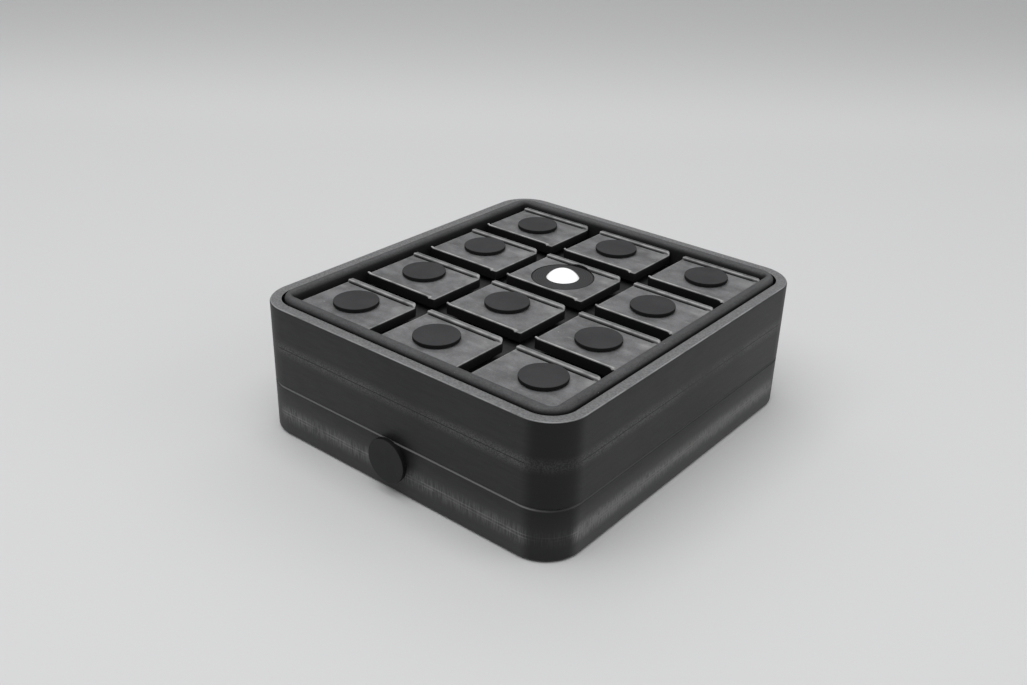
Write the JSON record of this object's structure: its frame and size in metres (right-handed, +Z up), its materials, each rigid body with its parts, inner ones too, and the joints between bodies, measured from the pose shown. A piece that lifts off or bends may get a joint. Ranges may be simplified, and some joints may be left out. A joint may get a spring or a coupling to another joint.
{
  "type": "puzzle box",
  "caption": "Low rectangular box with rounded corners: a grid of sprung keys with round discs and a ball on its hinged lid, a tray inside and a turning knob on the front.",
  "frame": {"origin": "middle of the tray's flat underside, which stands on the table", "axes": "+Z up out of the keys, +Y from the knob at the front to the hinge at the back, +X to the right seen from the front"},
  "size_m": [0.13, 0.1536, 0.05],
  "materials": {
    "shell_black": "satin",
    "bezel_black": "satin",
    "key_black": "satin, hazed by handling",
    "disc_black": "matte",
    "inner_black": "matte",
    "ball_white": "polished",
    "steel": "brushed",
    "spring_steel": "bright drawn wire"
  },
  "bodies": {
    "base": {"base_shell": "shell_black", "hinge_pin": "steel"},
    "lid": {"upper_shell": "shell_black", "deck_plate": "inner_black", "bezel_frame": "bezel_black", "bottom_cover": "inner_black", "deck_screw_1": "steel", "deck_screw_2": "steel", "deck_screw_3": "steel", "deck_screw_4": "steel", "cover_screw_1": "steel", "cover_screw_2": "steel", "cover_screw_3": "steel", "cover_screw_4": "steel", "key_spring_r1c1": "spring_steel", "key_spring_r1c2": "spring_steel", "key_spring_r1c3": "spring_steel", "key_spring_r2c1": "spring_steel", "key_spring_r2c2": "spring_steel", "key_spring_r2c3": "spring_steel", "key_spring_r3c1": "spring_steel", "key_spring_r3c2": "spring_steel", "key_spring_r3c3": "spring_steel", "key_spring_r4c1": "spring_steel", "key_spring_r4c2": "spring_steel", "key_spring_r4c3": "spring_steel"},
    "lock": {"lock_plate": "steel"},
    "knob": {"knob_disc": "disc_black", "knob_shaft": "steel", "hook_cam": "steel", "cam_screw": "steel"},
    "ball": {"ball": "ball_white"},
    "key_r1c1": {"key_tile_r1c1": "key_black", "button_disc_r1c1": "disc_black"},
    "key_r1c2": {"key_tile_r1c2": "key_black", "button_disc_r1c2": "disc_black"},
    "key_r1c3": {"key_tile_r1c3": "key_black", "button_disc_r1c3": "disc_black"},
    "key_r2c1": {"key_tile_r2c1": "key_black", "button_disc_r2c1": "disc_black"},
    "key_r2c2": {"key_tile_r2c2": "key_black", "button_disc_r2c2": "disc_black"},
    "key_r2c3": {"key_tile_r2c3": "key_black", "button_disc_r2c3": "disc_black"},
    "key_r3c1": {"key_tile_r3c1": "key_black", "button_disc_r3c1": "disc_black"},
    "key_r3c2": {"key_tile_r3c2": "key_black", "socket_ring": "disc_black"},
    "key_r3c3": {"key_tile_r3c3": "key_black", "button_disc_r3c3": "disc_black"},
    "key_r4c1": {"key_tile_r4c1": "key_black", "button_disc_r4c1": "disc_black"},
    "key_r4c2": {"key_tile_r4c2": "key_black", "button_disc_r4c2": "disc_black"},
    "key_r4c3": {"key_tile_r4c3": "key_black", "button_disc_r4c3": "disc_black"}
  },
  "joints": [
    {"name": "lid_hinge", "type": "hinge", "parent": "base", "child": "lid", "pos_m": [0, 0.0754, 0.0192], "axis": [-1, 0, 0], "range_deg": [0, 95]},
    {"name": "knob_turn", "type": "hinge", "parent": "base", "child": "knob", "pos_m": [0, -0.072, 0.013], "axis": [0, 1, 0], "range_deg": [0, 90]},
    {"name": "key_press_r1c1", "type": "slide", "parent": "lid", "child": "key_r1c1", "axis": [0, 0, -1], "range_m": [0, 0.002], "stiffness_N_per_m": 300, "springref_m": -0.001, "deforming": ["key_spring_r1c1"]},
    {"name": "key_press_r1c2", "type": "slide", "parent": "lid", "child": "key_r1c2", "axis": [0, 0, -1], "range_m": [0, 0.002], "stiffness_N_per_m": 300, "springref_m": -0.001, "deforming": ["key_spring_r1c2"]},
    {"name": "key_press_r1c3", "type": "slide", "parent": "lid", "child": "key_r1c3", "axis": [0, 0, -1], "range_m": [0, 0.002], "stiffness_N_per_m": 300, "springref_m": -0.001, "deforming": ["key_spring_r1c3"]},
    {"name": "key_press_r2c1", "type": "slide", "parent": "lid", "child": "key_r2c1", "axis": [0, 0, -1], "range_m": [0, 0.002], "stiffness_N_per_m": 300, "springref_m": -0.001, "deforming": ["key_spring_r2c1"]},
    {"name": "key_press_r2c2", "type": "slide", "parent": "lid", "child": "key_r2c2", "axis": [0, 0, -1], "range_m": [0, 0.002], "stiffness_N_per_m": 300, "springref_m": -0.001, "deforming": ["key_spring_r2c2"]},
    {"name": "key_press_r2c3", "type": "slide", "parent": "lid", "child": "key_r2c3", "axis": [0, 0, -1], "range_m": [0, 0.002], "stiffness_N_per_m": 300, "springref_m": -0.001, "deforming": ["key_spring_r2c3"]},
    {"name": "key_press_r3c1", "type": "slide", "parent": "lid", "child": "key_r3c1", "axis": [0, 0, -1], "range_m": [0, 0.002], "stiffness_N_per_m": 300, "springref_m": -0.001, "deforming": ["key_spring_r3c1"]},
    {"name": "key_press_r3c2", "type": "slide", "parent": "lid", "child": "key_r3c2", "axis": [0, 0, -1], "range_m": [0, 0.002], "stiffness_N_per_m": 300, "springref_m": -0.001, "deforming": ["key_spring_r3c2"]},
    {"name": "key_press_r3c3", "type": "slide", "parent": "lid", "child": "key_r3c3", "axis": [0, 0, -1], "range_m": [0, 0.002], "stiffness_N_per_m": 300, "springref_m": -0.001, "deforming": ["key_spring_r3c3"]},
    {"name": "key_press_r4c1", "type": "slide", "parent": "lid", "child": "key_r4c1", "axis": [0, 0, -1], "range_m": [0, 0.002], "stiffness_N_per_m": 300, "springref_m": -0.001, "deforming": ["key_spring_r4c1"]},
    {"name": "key_press_r4c2", "type": "slide", "parent": "lid", "child": "key_r4c2", "axis": [0, 0, -1], "range_m": [0, 0.002], "stiffness_N_per_m": 300, "springref_m": -0.001, "deforming": ["key_spring_r4c2"]},
    {"name": "key_press_r4c3", "type": "slide", "parent": "lid", "child": "key_r4c3", "axis": [0, 0, -1], "range_m": [0, 0.002], "stiffness_N_per_m": 300, "springref_m": -0.001, "deforming": ["key_spring_r4c3"]},
    {"name": "lock_slide", "type": "slide", "parent": "lid", "child": "lock", "axis": [0, -1, 0], "range_m": [0, 0.002]},
    {"name": "ball_roll", "type": "hinge", "parent": "key_r3c2", "child": "ball", "pos_m": [-0.0008, 0.01639, 0.043], "axis": [1, 0, 0], "continuous": true}
  ],
  "couplings": [
    {"joint": "lock_slide", "follows": "key_press_r3c2", "ratio": 1}
  ]
}
